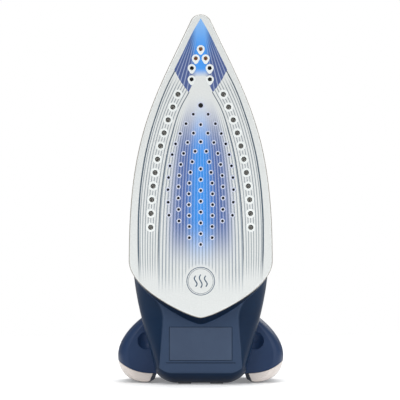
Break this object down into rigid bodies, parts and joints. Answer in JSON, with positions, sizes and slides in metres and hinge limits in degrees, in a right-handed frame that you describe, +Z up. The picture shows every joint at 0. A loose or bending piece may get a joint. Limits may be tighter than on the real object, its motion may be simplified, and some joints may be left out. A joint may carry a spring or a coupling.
{
  "type": "steam iron",
  "caption": "Steam iron standing on its heel, boat-shaped soleplate forward, with a water tank, arched handle, dial, flap, buttons and splayed heel wings.",
  "frame": {"origin": "on the floor, under the centre of the iron's box, with the iron standing on its heel", "axes": "+Z up towards the soleplate's tip, -Y out of the soleplate's working face, +X to the viewer's right when facing the soleplate"},
  "size_m": [0.1422, 0.16, 0.3088],
  "materials": {
    "enamel_white": "satin",
    "cast_aluminium": "cast",
    "element_steel": "oxidised",
    "screw_steel": "zinc plated",
    "plated_steel": "plated",
    "navy_plastic": "satin",
    "navy_soft": "soft touch",
    "plate_slate": "satin",
    "tank_blue": "tinted clear plastic",
    "cream_plastic": "gloss",
    "dark_rubber": "matte",
    "lens_amber": "clear",
    "pump_plastic": "natural",
    "board_green": "lacquered",
    "terminal_black": "matte",
    "spring_steel": "bright",
    "hose_silicone": "matte"
  },
  "bodies": {
    "base": {"soleplate_sheet": "enamel_white", "soleplate_casting": "cast_aluminium", "heating_element": "element_steel", "chamber_cover": "cast_aluminium", "cover_screws": "screw_steel", "thermostat": "plated_steel", "thermal_fuse": "plated_steel", "lower_housing": "navy_plastic", "rating_plate": "plate_slate", "water_tank": "tank_blue", "hood": "navy_plastic", "fill_funnel": "dark_rubber", "heel_shell": "navy_soft", "foot_band_left": "cream_plastic", "foot_band_right": "cream_plastic", "foot_rim_left": "dark_rubber", "foot_rim_right": "dark_rubber", "heel_pads": "dark_rubber", "rear_cover": "navy_soft", "rear_cover_screws": "screw_steel", "cord_socket": "navy_plastic", "terminal_block": "terminal_black", "handle_shell": "navy_plastic", "handle_trim": "cream_plastic", "grip_cover": "dark_rubber", "indicator_lens": "lens_amber", "indicator_lamp": "lens_amber", "control_board": "board_green", "spray_pump": "pump_plastic", "boost_pump": "pump_plastic", "spray_hose": "hose_silicone", "boost_hose": "hose_silicone", "spray_nozzle": "cream_plastic", "dosing_valve": "pump_plastic", "dial_bezel": "cream_plastic", "spray_spring": "spring_steel", "boost_spring": "spring_steel"},
    "dial": {"thermostat_dial": "navy_soft", "dial_shaft": "pump_plastic"},
    "door": {"fill_door": "navy_plastic"},
    "spray": {"spray_button": "cream_plastic", "spray_piston": "pump_plastic"},
    "boost": {"boost_button": "cream_plastic", "boost_piston": "pump_plastic"},
    "slider": {"steam_slider": "cream_plastic"},
    "needle": {"dosing_needle": "plated_steel"},
    "gland": {"cord_gland": "dark_rubber"}
  },
  "joints": [
    {"name": "dial_turn", "type": "hinge", "parent": "base", "child": "dial", "pos_m": [0, 0.007, 0.118], "axis": [0, 1, 0], "range_deg": [-135, 135]},
    {"name": "door_flap", "type": "hinge", "parent": "base", "child": "door", "pos_m": [0, -0.01136, 0.24838], "axis": [-1, 0, 0], "range_deg": [0, 80]},
    {"name": "spray_press", "type": "slide", "parent": "base", "child": "spray", "axis": [0, -1, 0], "range_m": [0, 0.0035], "stiffness_N_per_m": 600, "springref_m": -0.002, "deforming": ["spray_spring"]},
    {"name": "boost_press", "type": "slide", "parent": "base", "child": "boost", "axis": [0, -1, 0], "range_m": [0, 0.0035], "stiffness_N_per_m": 600, "springref_m": -0.002, "deforming": ["boost_spring"]},
    {"name": "steam_slide", "type": "slide", "parent": "base", "child": "slider", "axis": [1, 0, 0], "range_m": [-0.008, 0.008]},
    {"name": "needle_lift", "type": "slide", "parent": "base", "child": "needle", "axis": [0, 1, 0], "range_m": [-0.0012, 0.0012]},
    {"name": "gland_swivel", "type": "hinge", "parent": "base", "child": "gland", "pos_m": [0, 0.067, 0.03], "axis": [1, 0, 0], "range_deg": [-20, 20]}
  ],
  "couplings": [
    {"joint": "needle_lift", "follows": "steam_slide", "ratio": 0.15}
  ]
}
